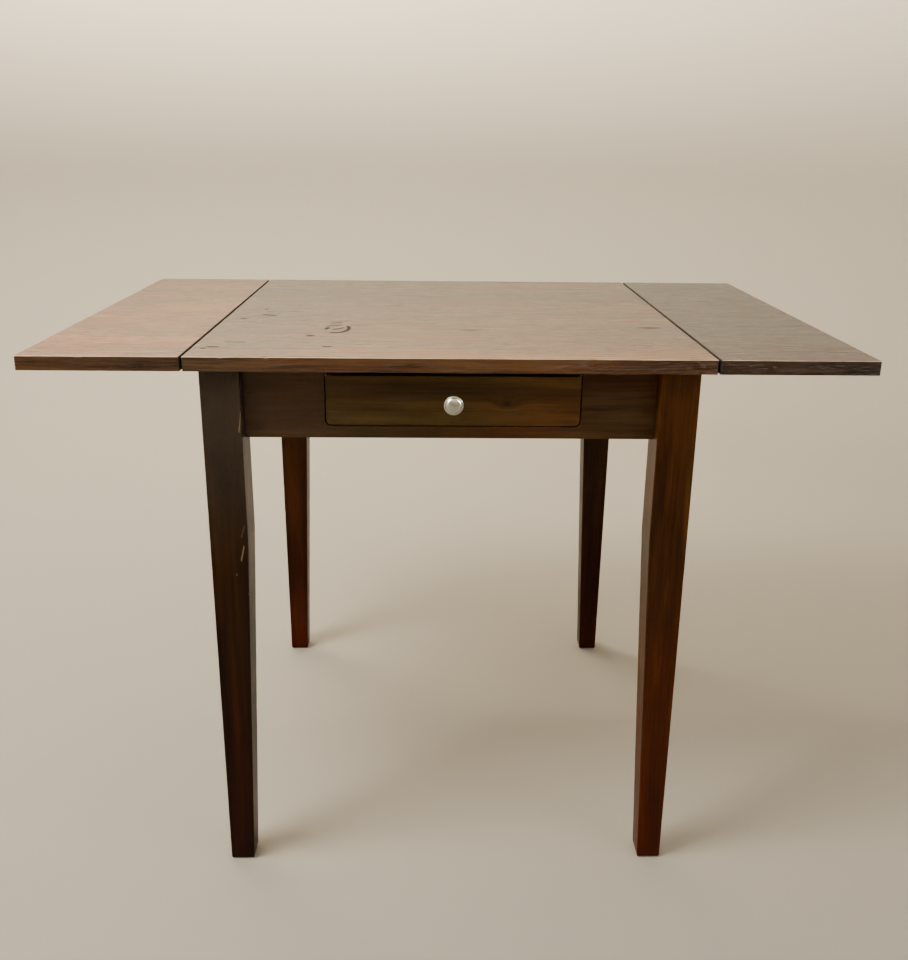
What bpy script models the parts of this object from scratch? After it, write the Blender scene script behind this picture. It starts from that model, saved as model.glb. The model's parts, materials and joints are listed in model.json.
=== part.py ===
"""Drop leaf table, modelled as its separate pieces.

X runs along the table's length, the drawer faces -Y, the floor is z = 0, and lengths are in metres.
The leaves stand open, their supports are folded away and the drawer is shut.
"""

import math

import bmesh
import bpy
from mathutils import Matrix, Vector

# Every touching pair of pieces keeps this gap, and so does a pin in its hole.
GAP = 0.0003

# The top and its leaves.
HEIGHT = 0.762
DEPTH = 0.660
TOP_THICKNESS = 0.019
SEAM_X = 0.335
SEAM_WIDTH = 0.003
LEAF_END_X = 0.5385
TOP_ARRIS = 0.0012
UNDERSIDE = HEIGHT - TOP_THICKNESS
BASE_TOP = UNDERSIDE - GAP

# The legs: square at the top, with both inner faces tapered below the aprons.
LEG_FACE_X = 0.317
LEG_FACE_Y = 0.318
LEG_WIDTH = 0.0505
FOOT_WIDTH = 0.0330
TAPER_TOP = 0.511
LEG_ARRIS = 0.0015

# The aprons between the legs.
APRON_RECESS = 0.018
APRON_THICKNESS = 0.019
APRON_HEIGHT = 0.0945
APRON_BOTTOM = UNDERSIDE - APRON_HEIGHT
APRON_FACE_X = LEG_FACE_X - APRON_RECESS
APRON_FACE_Y = LEG_FACE_Y - APRON_RECESS
APRON_BACK_X = APRON_FACE_X - APRON_THICKNESS
APRON_BACK_Y = APRON_FACE_Y - APRON_THICKNESS
APRON_END_X = LEG_FACE_X - LEG_WIDTH - GAP
APRON_END_Y = LEG_FACE_Y - LEG_WIDTH - GAP
INSIDE_Y = APRON_BACK_Y - GAP

# The corner blocks, measured from the corner where the aprons' back faces would meet.
BLOCK_NEAR = 0.030
BLOCK_FAR = 0.070
BLOCK_HEIGHT = 0.060
BOLT_RADIUS = 0.004
BOLT_Z = BASE_TOP - BLOCK_HEIGHT / 2
BOLT_IN_LEG = 0.035
BOLT_PAST_BLOCK = 0.010
NUT_RADIUS = 0.0075
NUT_THICKNESS = 0.0065
TOP_SCREW_RADIUS = 0.002
TOP_SCREW_AT = (0.042, 0.012)
TOP_SCREW_HEAD = 0.0042
TOP_SCREW_HEAD_HEIGHT = 0.003
TOP_SCREW_REACH = 0.012
COUNTERBORE_RADIUS = 0.0055
COUNTERBORE_TOP = 0.715

# The leaf hinges, two to a leaf. Their pins lie just under the seams.
HINGE_Z = UNDERSIDE - 0.0045
HINGE_Y = 0.235
HINGE_LENGTH = 0.060
KNUCKLES = 5
BARREL_RADIUS = 0.0036
HINGE_PIN_RADIUS = 0.0015
PLATE_TOP = BASE_TOP - HINGE_Z
PLATE_BOTTOM = PLATE_TOP - 0.0017
TOP_PLATE_REACH = 0.0335
LEAF_PLATE_REACH = 0.0430
KNUCKLE_NOTCH = 0.0043

# The swinging supports, one on each side apron.
SUPPORT_THICKNESS = APRON_RECESS - 2 * GAP
SUPPORT_PIVOT_X = APRON_FACE_X + GAP + SUPPORT_THICKNESS / 2
SUPPORT_PIVOT_Y = -0.020
SUPPORT_TOP = UNDERSIDE - 0.0006
SUPPORT_HEIGHT = 0.065
SUPPORT_BOTTOM = SUPPORT_TOP - SUPPORT_HEIGHT
SUPPORT_SHOULDER = SUPPORT_THICKNESS / 2 + 0.0009
SUPPORT_PIN_RADIUS = 0.0020
FINGER_HEIGHT = SUPPORT_HEIGHT / 3
ARM_LENGTH = 0.160
ARM_TIP_HEIGHT = 0.028
ARM_TAPER_START = 0.060
FIXED_LENGTH = 0.100

# The drawer, its opening and what it slides on.
DRAWER_X = 0.0035
OPENING_HALF = 0.166
OPENING_BOTTOM = 0.664
CORNER_RADIUS = 0.0085
DRAWER_CLEARANCE = 0.0016
FRONT_HALF = OPENING_HALF - DRAWER_CLEARANCE
FRONT_BOTTOM = OPENING_BOTTOM + DRAWER_CLEARANCE
FRONT_TOP = 0.7315
FRONT_THICKNESS = 0.018
FRONT_ARRIS = 0.0012
BOX_HALF = 0.1585
BOX_TOP = 0.7275
BOX_WALL = 0.011
BOX_FRONT_Y = -APRON_FACE_Y + FRONT_THICKNESS + GAP
BOX_BACK_Y = 0.120
BOX_INNER_HALF = BOX_HALF - BOX_WALL
FLOOR_BOTTOM = 0.672
FLOOR_THICKNESS = 0.005
GROOVE_DEPTH = 0.005
RUNNER_IN = 0.1435
RUNNER_OUT = 0.1775
RUNNER_BOTTOM = 0.6505
GUIDE_IN = BOX_HALF + 0.0015
GUIDE_TOP = 0.690
KICKER_IN = 0.1455
KICKER_OUT = 0.1715
KICKER_BOTTOM = BOX_TOP + 0.001
STOP_BLOCK_HALF = 0.020
STOP_BLOCK_Y = (-0.2085, -0.1905)
STOP_PEG_RADIUS = 0.004
STOP_PEG_TOP = 0.7375
STOP_PEG_DEPTH = 0.015

# The knob, turned about its own axis, and its screw.
KNOB_RADIUS = 0.0127
KNOB_LENGTH = 0.025
KNOB_DOME = 0.0050
KNOB_RIM = 0.003
KNOB_NECK_RADIUS = 0.005
KNOB_NECK_AT = 0.0085
KNOB_FOOT_RADIUS = 0.0075
KNOB_SCREW_RADIUS = 0.002
KNOB_SCREW_REACH = 0.011
KNOB_SCREW_HEAD = 0.004
KNOB_SCREW_HEAD_HEIGHT = 0.0025
KNOB_Z = (FRONT_TOP + FRONT_BOTTOM) / 2

CORNERS = {"front_left": (-1, -1), "front_right": (1, -1), "back_left": (-1, 1), "back_right": (1, 1)}
SIDES = {"left": -1, "right": 1}

# Rotations that stand a flat outline upright: facing along the table, and facing its end.
LYING = (0.0, 0.0, 0.0)
UPRIGHT = (math.pi / 2, 0.0, 0.0)
UPRIGHT_ENDWAYS = (math.pi / 2, 0.0, math.pi / 2)


def clear_scene():
    for item in list(bpy.data.objects):
        bpy.data.objects.remove(item, do_unlink=True)


def new_collection(name):
    group = bpy.data.collections.new(name)
    bpy.context.scene.collection.children.link(group)
    return group


def add_object(name, mesh, location, rotation, group):
    item = bpy.data.objects.new(name, mesh)
    item.location = location
    item.rotation_euler = rotation
    group.objects.link(item)
    return item


def finish_shape(shape, name):
    """The bmesh as mesh data, its normals outward."""
    bmesh.ops.recalc_face_normals(shape, faces=shape.faces)
    mesh = bpy.data.meshes.new(name)
    shape.to_mesh(mesh)
    shape.free()
    return mesh


def add_box(name, low, high, group):
    """A box between two opposite corners, with its origin at its centre."""
    size = [b - a for a, b in zip(low, high)]
    centre = [(a + b) / 2 for a, b in zip(low, high)]
    shape = bmesh.new()
    bmesh.ops.create_cube(shape, size=1.0, matrix=Matrix.Diagonal((*size, 1.0)))
    return add_object(name, finish_shape(shape, name), centre, LYING, group)


def add_cylinder(name, radius, start, end, group, sides=24):
    """A cylinder, or a prism with few sides, between the middles of its two ends."""
    start, end = Vector(start), Vector(end)
    along = end - start
    shape = bmesh.new()
    bmesh.ops.create_cone(
        shape, cap_ends=True, segments=sides, radius1=radius, radius2=radius, depth=along.length
    )
    turn = Vector((0.0, 0.0, 1.0)).rotation_difference(along).to_euler()
    item = add_object(name, finish_shape(shape, name), (start + end) / 2, turn, group)
    if sides > 6:
        shade_round(item)
    return item


def shade_round(item):
    """Smooth shading on the curved sides, with flat ends."""
    ends = max(len(face.vertices) for face in item.data.polygons)
    for face in item.data.polygons:
        face.use_smooth = len(face.vertices) < ends


def add_turned(name, profile, location, rotation, group, steps=48):
    """A solid turned from (radius, height) points, given from its tip down its outer side."""
    mesh = bpy.data.meshes.new(name)
    points = [(radius, 0.0, height) for radius, height in profile]
    mesh.from_pydata(points, [(i, i + 1) for i in range(len(points) - 1)], [])
    item = add_object(name, mesh, location, rotation, group)
    turn = item.modifiers.new("turn", "SCREW")
    turn.axis = "Z"
    turn.angle = 2 * math.pi
    turn.steps = steps
    turn.render_steps = steps
    turn.use_merge_vertices = True
    turn.merge_threshold = 0.00001
    turn.use_smooth_shade = True
    return item


def add_outline(name, points, thickness, location, rotation, group):
    """A flat outline made solid: a filled curve extruded half its thickness each way and welded."""
    curve = bpy.data.curves.new(name, "CURVE")
    curve.dimensions = "2D"
    curve.fill_mode = "BOTH"
    curve.extrude = thickness / 2
    spline = curve.splines.new("POLY")
    spline.points.add(len(points) - 1)
    for point, (across, up) in zip(spline.points, points):
        point.co = (across, up, 0.0, 1.0)
    spline.use_cyclic_u = True
    drawn = add_object(name + "_outline", curve, location, rotation, group)
    bpy.context.view_layer.update()
    evaluated = drawn.evaluated_get(bpy.context.evaluated_depsgraph_get())
    filled = bpy.data.meshes.new_from_object(evaluated)
    shape = bmesh.new()
    shape.from_mesh(filled)
    bpy.data.objects.remove(drawn)
    bmesh.ops.remove_doubles(shape, verts=shape.verts, dist=0.00001)
    bmesh.ops.dissolve_limit(
        shape, angle_limit=math.radians(0.5), verts=shape.verts, edges=shape.edges
    )
    return add_object(name, finish_shape(shape, name), location, rotation, group)


def arc(centre, radius, start, end, steps=6):
    """Points along an arc from one angle to another, in degrees."""
    angles = [math.radians(start + (end - start) * i / steps) for i in range(steps + 1)]
    return [(centre[0] + radius * math.cos(a), centre[1] + radius * math.sin(a)) for a in angles]


def ease_edges(item, width, segments=2):
    """Rounds the piece's sharp edges, as sanding does."""
    bevel = item.modifiers.new("eased edges", "BEVEL")
    bevel.width = width
    bevel.segments = segments
    bevel.limit_method = "ANGLE"
    bevel.angle_limit = math.radians(30)


def hang_on(item, holder):
    """Parents a piece where it stands. Both have only their own location and rotation so far."""
    item.parent = holder
    item.matrix_parent_inverse = holder.matrix_basis.inverted()


def cut(item, cutter):
    """Cuts one piece's shape out of another. The cutter follows the piece that it cuts."""
    cutter.hide_render = True
    cutter.display_type = "WIRE"
    hang_on(cutter, item)
    boolean = item.modifiers.new(cutter.name, "BOOLEAN")
    boolean.operation = "DIFFERENCE"
    boolean.solver = "EXACT"
    boolean.object = cutter


def add_pivot(name, location):
    """An empty on a joint's axis, which carries what moves there."""
    pivot = bpy.data.objects.new(name, None)
    pivot.location = location
    pivot.empty_display_size = 0.05
    bpy.context.scene.collection.objects.link(pivot)
    return pivot


def add_material(name, colour, roughness, metallic=0.0):
    look = bpy.data.materials.new(name)
    look.use_nodes = True
    surface = look.node_tree.nodes["Principled BSDF"]
    surface.inputs["Base Color"].default_value = (*colour, 1.0)
    surface.inputs["Roughness"].default_value = roughness
    surface.inputs["Metallic"].default_value = metallic
    look.diffuse_color = (*colour, 1.0)
    return look


WOODS = {
    "top_wood": ((0.145, 0.075, 0.042), 0.38),
    "dark_wood": ((0.050, 0.026, 0.015), 0.42),
    "drawer_wood": ((0.075, 0.040, 0.018), 0.42),
    "plain_wood": ((0.360, 0.235, 0.130), 0.60),
    "plywood": ((0.470, 0.330, 0.190), 0.65),
}
METALS = {
    "satin_nickel": ((0.640, 0.620, 0.570), 0.30),
    "hinge_brass": ((0.560, 0.400, 0.170), 0.38),
    "zinc_steel": ((0.550, 0.550, 0.560), 0.35),
}


def paint(pieces, kind):
    """Gives each piece a material of its own, of one kind."""
    metallic = 1.0 if kind in METALS else 0.0
    colour, roughness = {**WOODS, **METALS}[kind]
    for piece in pieces:
        piece.data.materials.append(add_material(f"{piece.name}_{kind}", colour, roughness, metallic))


def corner_point(side_x, side_y, along_front, along_side):
    """Where a point of a corner stands, from its distances inward along the front and the side."""
    return (
        side_x * (APRON_BACK_X - GAP - along_front),
        side_y * (APRON_BACK_Y - GAP - along_side),
    )


def diagonal_point(side_x, side_y, distance):
    """A point on a corner's diagonal at the bolt's height, this far inward from the aprons' corner."""
    inward = distance / math.sqrt(2)
    return (*corner_point(side_x, side_y, inward, inward), BOLT_Z)


def bolt_ends(side_x, side_y, extra=0.0):
    """The two ends of a corner's bolt, the one in the leg first."""
    leg_corner = (LEG_WIDTH - APRON_RECESS - APRON_THICKNESS - GAP) * math.sqrt(2)
    block_face = BLOCK_FAR / math.sqrt(2)
    return (
        diagonal_point(side_x, side_y, leg_corner - BOLT_IN_LEG - extra),
        diagonal_point(side_x, side_y, block_face + BOLT_PAST_BLOCK + extra),
    )


def make_top(parts, cutters):
    half_depth = DEPTH / 2
    panel_half = SEAM_X - SEAM_WIDTH / 2
    low, high = (-panel_half, -half_depth, UNDERSIDE), (panel_half, half_depth, HEIGHT)
    panel = add_box("top_panel", low, high, parts)
    ease_edges(panel, TOP_ARRIS)
    for name, (side_x, side_y) in CORNERS.items():
        x, y = corner_point(side_x, side_y, *TOP_SCREW_AT)
        pilot = add_cylinder(
            f"cut_pilot_{name}",
            TOP_SCREW_RADIUS + GAP,
            (x, y, UNDERSIDE - TOP_SCREW_REACH),
            (x, y, UNDERSIDE + TOP_SCREW_REACH + GAP),
            cutters,
        )
        cut(panel, pilot)
    paint([panel], "top_wood")


def make_leaf(side, sign, parts):
    half_depth = DEPTH / 2
    near, far = sorted((sign * (SEAM_X + SEAM_WIDTH / 2), sign * LEAF_END_X))
    leaf = add_box(f"{side}_leaf", (near, -half_depth, UNDERSIDE), (far, half_depth, HEIGHT), parts)
    ease_edges(leaf, TOP_ARRIS)
    paint([leaf], "top_wood")
    return leaf


def make_leg(name, side_x, side_y, parts, cutters):
    """A leg with its origin at its outer corner on the floor, bored for its bolt."""
    shape = bmesh.new()
    bmesh.ops.create_cube(shape, size=1.0, matrix=Matrix.Translation((0.5, 0.5, 0.5)))
    bmesh.ops.scale(shape, vec=(-side_x * LEG_WIDTH, -side_y * LEG_WIDTH, BASE_TOP), verts=shape.verts)
    everything = shape.verts[:] + shape.edges[:] + shape.faces[:]
    bmesh.ops.bisect_plane(
        shape, geom=everything, plane_co=(0.0, 0.0, TAPER_TOP), plane_no=(0.0, 0.0, 1.0)
    )
    foot = [vert for vert in shape.verts if vert.co.z < TAPER_TOP / 2]
    ratio = FOOT_WIDTH / LEG_WIDTH
    bmesh.ops.scale(shape, vec=(ratio, ratio, 1.0), verts=foot)
    mesh = finish_shape(shape, name)
    leg = add_object(name, mesh, (side_x * LEG_FACE_X, side_y * LEG_FACE_Y, 0.0), LYING, parts)
    ease_edges(leg, LEG_ARRIS)
    bore = add_cylinder(f"cut_{name}", BOLT_RADIUS + GAP, *bolt_ends(side_x, side_y, GAP), cutters)
    cut(leg, bore)
    paint([leg], "dark_wood")


def make_front_apron(parts):
    """One board with a notch for the drawer, open to the top and round in its lower corners."""
    left, right = DRAWER_X - OPENING_HALF, DRAWER_X + OPENING_HALF
    inset = OPENING_BOTTOM + CORNER_RADIUS
    points = [
        (-APRON_END_X, APRON_BOTTOM),
        (APRON_END_X, APRON_BOTTOM),
        (APRON_END_X, BASE_TOP),
        (right, BASE_TOP),
        *arc((right - CORNER_RADIUS, inset), CORNER_RADIUS, 0, -90),
        *arc((left + CORNER_RADIUS, inset), CORNER_RADIUS, -90, -180),
        (left, BASE_TOP),
        (-APRON_END_X, BASE_TOP),
    ]
    middle = (0.0, -APRON_FACE_Y + APRON_THICKNESS / 2, 0.0)
    return add_outline("front_apron", points, APRON_THICKNESS, middle, UPRIGHT, parts)


def make_aprons(parts):
    aprons = [make_front_apron(parts)]
    low = (-APRON_END_X, APRON_BACK_Y, APRON_BOTTOM)
    high = (APRON_END_X, APRON_FACE_Y, BASE_TOP)
    aprons.append(add_box("back_apron", low, high, parts))
    for side, sign in SIDES.items():
        near, far = sorted((sign * APRON_BACK_X, sign * APRON_FACE_X))
        low = (near, -APRON_END_Y, APRON_BOTTOM)
        high = (far, APRON_END_Y, BASE_TOP)
        aprons.append(add_box(f"{side}_apron", low, high, parts))
    paint(aprons, "dark_wood")


def make_corner_block(name, side_x, side_y, parts, cutters):
    """A block across the corner, bored for the leg's bolt and for the screw that holds the top."""
    corners = [(0.0, BLOCK_NEAR), (BLOCK_NEAR, 0.0), (BLOCK_FAR, 0.0), (0.0, BLOCK_FAR)]
    points = [corner_point(side_x, side_y, *corner) for corner in corners]
    middle = (0.0, 0.0, BOLT_Z)
    block = add_outline(f"corner_block_{name}", points, BLOCK_HEIGHT, middle, LYING, parts)
    ends = bolt_ends(side_x, side_y)
    cut(block, add_cylinder(f"cut_block_bolt_{name}", BOLT_RADIUS + GAP, *ends, cutters))
    x, y = corner_point(side_x, side_y, *TOP_SCREW_AT)
    bottom, top = BOLT_Z - BLOCK_HEIGHT, BOLT_Z + BLOCK_HEIGHT
    shank = add_cylinder(
        f"cut_block_shank_{name}", TOP_SCREW_RADIUS + GAP, (x, y, bottom), (x, y, top), cutters
    )
    counterbore = add_cylinder(
        f"cut_block_counterbore_{name}",
        COUNTERBORE_RADIUS,
        (x, y, bottom),
        (x, y, COUNTERBORE_TOP),
        cutters,
    )
    cut(block, shank)
    cut(block, counterbore)
    paint([block], "plain_wood")


def make_corner_fasteners(name, side_x, side_y, parts, cutters):
    """The leg's bolt with its nut, and the screw up into the top."""
    in_leg, inside = bolt_ends(side_x, side_y)
    bolt = add_cylinder(f"leg_bolt_{name}", BOLT_RADIUS, in_leg, inside, parts)
    nut_face = BLOCK_FAR / math.sqrt(2) + GAP
    nut_ends = [diagonal_point(side_x, side_y, nut_face + d) for d in (0.0, NUT_THICKNESS)]
    nut = add_cylinder(f"leg_nut_{name}", NUT_RADIUS, *nut_ends, parts, sides=6)
    ends = [diagonal_point(side_x, side_y, nut_face + d) for d in (-0.01, NUT_THICKNESS + 0.01)]
    cut(nut, add_cylinder(f"cut_nut_{name}", BOLT_RADIUS + GAP, *ends, cutters))
    x, y = corner_point(side_x, side_y, *TOP_SCREW_AT)
    head_bottom = -TOP_SCREW_HEAD_HEIGHT
    shank_top = UNDERSIDE + TOP_SCREW_REACH - COUNTERBORE_TOP
    profile = [
        (0.0, shank_top),
        (TOP_SCREW_RADIUS, shank_top),
        (TOP_SCREW_RADIUS, 0.0),
        (TOP_SCREW_HEAD, 0.0),
        (TOP_SCREW_HEAD, head_bottom),
        (0.0, head_bottom),
    ]
    location = (x, y, COUNTERBORE_TOP - GAP)
    screw = add_turned(f"top_screw_{name}", profile, location, LYING, parts, steps=24)
    paint([bolt, nut, screw], "zinc_steel")


def hinge_plate(name, sign, direction, reach, y, own_knuckles, parts, cutters):
    """A plate with its share of the barrel. It reaches away from the pin towards direction."""
    meet = math.degrees(math.asin(PLATE_BOTTOM / BARREL_RADIUS))
    barrel = arc((0.0, 0.0), BARREL_RADIUS, meet, -270, steps=28)
    points = [(reach, PLATE_TOP), (reach, PLATE_BOTTOM), *barrel, (0.0, PLATE_TOP)]
    points = [(direction * across, up) for across, up in points]
    pin_x = sign * SEAM_X
    plate = add_outline(name, points, HINGE_LENGTH, (pin_x, y, HINGE_Z), UPRIGHT, parts)
    start, end = y - HINGE_LENGTH / 2, y + HINGE_LENGTH / 2
    ends = [(pin_x, start - GAP, HINGE_Z), (pin_x, end + GAP, HINGE_Z)]
    cut(plate, add_cylinder(f"cut_bore_{name}", HINGE_PIN_RADIUS + GAP, *ends, cutters, sides=16))
    knuckle = HINGE_LENGTH / KNUCKLES
    outer, inner = pin_x + direction * KNUCKLE_NOTCH, pin_x - direction * 2 * BARREL_RADIUS
    for i in range(KNUCKLES):
        if i in own_knuckles:
            continue
        low = (min(outer, inner), start + i * knuckle - GAP / 2, HINGE_Z - 2 * BARREL_RADIUS)
        high = (max(outer, inner), start + (i + 1) * knuckle + GAP / 2, HINGE_Z + 2 * BARREL_RADIUS)
        cut(plate, add_box(f"cut_notch_{i}_{name}", low, high, cutters))
    return plate


def make_hinge(side, sign, place, y, parts, cutters):
    """One leaf hinge: a plate on the top, a plate on the leaf and a pin. The leaf's plate is returned."""
    name = f"{side}_hinge_{place}"
    on_top = hinge_plate(f"{name}_top_plate", sign, -sign, TOP_PLATE_REACH, y, (0, 2, 4), parts, cutters)
    on_leaf = hinge_plate(f"{name}_leaf_plate", sign, sign, LEAF_PLATE_REACH, y, (1, 3), parts, cutters)
    ends = [(sign * SEAM_X, y + end * HINGE_LENGTH / 2, HINGE_Z) for end in (-1, 1)]
    pin = add_cylinder(f"{name}_pin", HINGE_PIN_RADIUS, *ends, parts, sides=16)
    paint([on_top, on_leaf, pin], "hinge_brass")
    return on_leaf


def support_outline(length):
    """Seen from above: a bar with one round end about the pivot, running along +Y."""
    half = SUPPORT_THICKNESS / 2
    return [*arc((0.0, 0.0), half, 180, 360, steps=16), (half, length), (-half, length)]


def make_support(side, sign, parts, cutters):
    """A fixed knuckle block, the arm that swings out of it and their pin. The arm is returned."""
    x, y = sign * SUPPORT_PIVOT_X, SUPPORT_PIVOT_Y
    middle = (x, y, (SUPPORT_TOP + SUPPORT_BOTTOM) / 2)
    back_outline = [(-across, -along) for across, along in support_outline(FIXED_LENGTH)]
    block = add_outline(f"{side}_support_block", back_outline, SUPPORT_HEIGHT, middle, LYING, parts)
    arm = add_outline(
        f"{side}_support_arm", support_outline(ARM_LENGTH), SUPPORT_HEIGHT, middle, LYING, parts
    )
    wide = SUPPORT_THICKNESS
    low_finger, high_finger = SUPPORT_BOTTOM + FINGER_HEIGHT, SUPPORT_TOP - FINGER_HEIGHT
    slot = add_box(
        f"cut_{side}_block_slot",
        (x - wide, y - SUPPORT_SHOULDER, low_finger - GAP / 2),
        (x + wide, y + wide, high_finger + GAP / 2),
        cutters,
    )
    under = add_box(
        f"cut_{side}_arm_under",
        (x - wide, y - wide, SUPPORT_BOTTOM - wide),
        (x + wide, y + SUPPORT_SHOULDER, low_finger + GAP / 2),
        cutters,
    )
    over = add_box(
        f"cut_{side}_arm_over",
        (x - wide, y - wide, high_finger - GAP / 2),
        (x + wide, y + SUPPORT_SHOULDER, SUPPORT_TOP + wide),
        cutters,
    )
    wedge = add_outline(
        f"cut_{side}_arm_taper",
        [
            (y + ARM_TAPER_START, SUPPORT_BOTTOM),
            (y + ARM_TAPER_START, SUPPORT_BOTTOM - wide),
            (y + ARM_LENGTH + wide, SUPPORT_BOTTOM - wide),
            (y + ARM_LENGTH + wide, SUPPORT_TOP - ARM_TIP_HEIGHT),
            (y + ARM_LENGTH, SUPPORT_TOP - ARM_TIP_HEIGHT),
        ],
        2 * wide,
        (x, 0.0, 0.0),
        UPRIGHT_ENDWAYS,
        cutters,
    )
    cut(block, slot)
    cut(arm, under)
    cut(arm, over)
    cut(arm, wedge)
    ends = (x, y, SUPPORT_BOTTOM), (x, y, SUPPORT_TOP)
    for piece in (block, arm):
        long_ends = (x, y, SUPPORT_BOTTOM - wide), (x, y, SUPPORT_TOP + wide)
        cut(piece, add_cylinder(f"cut_bore_{piece.name}", SUPPORT_PIN_RADIUS + GAP, *long_ends, cutters))
    pin = add_cylinder(f"{side}_support_pin", SUPPORT_PIN_RADIUS, *ends, parts, sides=16)
    paint([block, arm], "dark_wood")
    paint([pin], "zinc_steel")
    return arm


def make_drawer_guides(parts):
    """The runners under the drawer, the kickers over it and the block that stops it."""
    pieces = []
    for side, sign in SIDES.items():
        ledge_top = FRONT_BOTTOM - GAP
        points = [
            (DRAWER_X + sign * RUNNER_IN, RUNNER_BOTTOM),
            (DRAWER_X + sign * RUNNER_OUT, RUNNER_BOTTOM),
            (DRAWER_X + sign * RUNNER_OUT, GUIDE_TOP),
            (DRAWER_X + sign * GUIDE_IN, GUIDE_TOP),
            (DRAWER_X + sign * GUIDE_IN, ledge_top),
            (DRAWER_X + sign * RUNNER_IN, ledge_top),
        ]
        runner = add_outline(f"{side}_runner", points, 2 * INSIDE_Y, (0.0, 0.0, 0.0), UPRIGHT, parts)
        near, far = sorted((DRAWER_X + sign * KICKER_IN, DRAWER_X + sign * KICKER_OUT))
        low, high = (near, -INSIDE_Y, KICKER_BOTTOM), (far, INSIDE_Y, BASE_TOP)
        pieces += [runner, add_box(f"{side}_kicker", low, high, parts)]
    low = (DRAWER_X - STOP_BLOCK_HALF, STOP_BLOCK_Y[0], KICKER_BOTTOM)
    high = (DRAWER_X + STOP_BLOCK_HALF, STOP_BLOCK_Y[1], BASE_TOP)
    pieces.append(add_box("drawer_stop_block", low, high, parts))
    paint(pieces, "plain_wood")


def floor_groove(name, low_x, high_x, low_y, high_y, cutters):
    """A cutter at the height of the drawer's floor."""
    low = (low_x, low_y, FLOOR_BOTTOM - GAP)
    high = (high_x, high_y, FLOOR_BOTTOM + FLOOR_THICKNESS + GAP)
    return add_box(name, low, high, cutters)


def make_drawer_front(parts, cutters):
    """The front, round in its lower corners, grooved for the floor and bored for the knob's screw."""
    left, right = DRAWER_X - FRONT_HALF, DRAWER_X + FRONT_HALF
    radius = CORNER_RADIUS - DRAWER_CLEARANCE
    points = [
        (left, FRONT_TOP),
        *arc((left + radius, FRONT_BOTTOM + radius), radius, 180, 270),
        *arc((right - radius, FRONT_BOTTOM + radius), radius, 270, 360),
        (right, FRONT_TOP),
    ]
    middle = (0.0, -APRON_FACE_Y + FRONT_THICKNESS / 2, 0.0)
    front = add_outline("drawer_front", points, FRONT_THICKNESS, middle, UPRIGHT, parts)
    ease_edges(front, FRONT_ARRIS)
    groove_half = BOX_INNER_HALF + GROOVE_DEPTH
    back_face = -APRON_FACE_Y + FRONT_THICKNESS
    groove = floor_groove(
        "cut_front_groove",
        DRAWER_X - groove_half,
        DRAWER_X + groove_half,
        back_face - GROOVE_DEPTH,
        back_face + GROOVE_DEPTH,
        cutters,
    )
    cut(front, groove)
    ends = [(DRAWER_X, y, KNOB_Z) for y in (-APRON_FACE_Y - 0.01, back_face + 0.01)]
    cut(front, add_cylinder("cut_front_screw", KNOB_SCREW_RADIUS + GAP, *ends, cutters))
    paint([front], "drawer_wood")
    return front


def make_drawer_box(parts, cutters):
    """The drawer's two sides, back and floor, and the peg that stops it. They are returned."""
    pieces = []
    for side, sign in SIDES.items():
        near, far = sorted((DRAWER_X + sign * BOX_INNER_HALF, DRAWER_X + sign * BOX_HALF))
        low, high = (near, BOX_FRONT_Y, FRONT_BOTTOM), (far, BOX_BACK_Y, BOX_TOP)
        wall = add_box(f"drawer_{side}_side", low, high, parts)
        near, far = sorted((BOX_INNER_HALF - GROOVE_DEPTH, BOX_INNER_HALF + GROOVE_DEPTH))
        near, far = sorted((DRAWER_X + sign * near, DRAWER_X + sign * far))
        groove = floor_groove(
            f"cut_{side}_groove", near, far, BOX_FRONT_Y - 0.01, BOX_BACK_Y + 0.01, cutters
        )
        cut(wall, groove)
        pieces.append(wall)
    half = BOX_INNER_HALF - GAP
    low = (DRAWER_X - half, BOX_BACK_Y - BOX_WALL, FLOOR_BOTTOM + FLOOR_THICKNESS + GAP)
    back = add_box("drawer_back", low, (DRAWER_X + half, BOX_BACK_Y, BOX_TOP), parts)
    peg_y = BOX_BACK_Y - BOX_WALL / 2
    peg_foot = BOX_TOP - STOP_PEG_DEPTH
    ends = [(DRAWER_X, peg_y, z) for z in (peg_foot - GAP, STOP_PEG_TOP)]
    cut(back, add_cylinder("cut_back_peg", STOP_PEG_RADIUS + GAP, *ends, cutters))
    ends = [(DRAWER_X, peg_y, z) for z in (peg_foot, STOP_PEG_TOP)]
    peg = add_cylinder("drawer_stop_peg", STOP_PEG_RADIUS, *ends, parts)
    pieces += [back, peg]
    paint(pieces, "plain_wood")
    floor_half = BOX_INNER_HALF + GROOVE_DEPTH - GAP
    front_edge = -APRON_FACE_Y + FRONT_THICKNESS - GROOVE_DEPTH + GAP
    low = (DRAWER_X - floor_half, front_edge, FLOOR_BOTTOM)
    high = (DRAWER_X + floor_half, BOX_BACK_Y, FLOOR_BOTTOM + FLOOR_THICKNESS)
    floor = add_box("drawer_floor", low, high, parts)
    paint([floor], "plywood")
    return [*pieces, floor]


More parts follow.
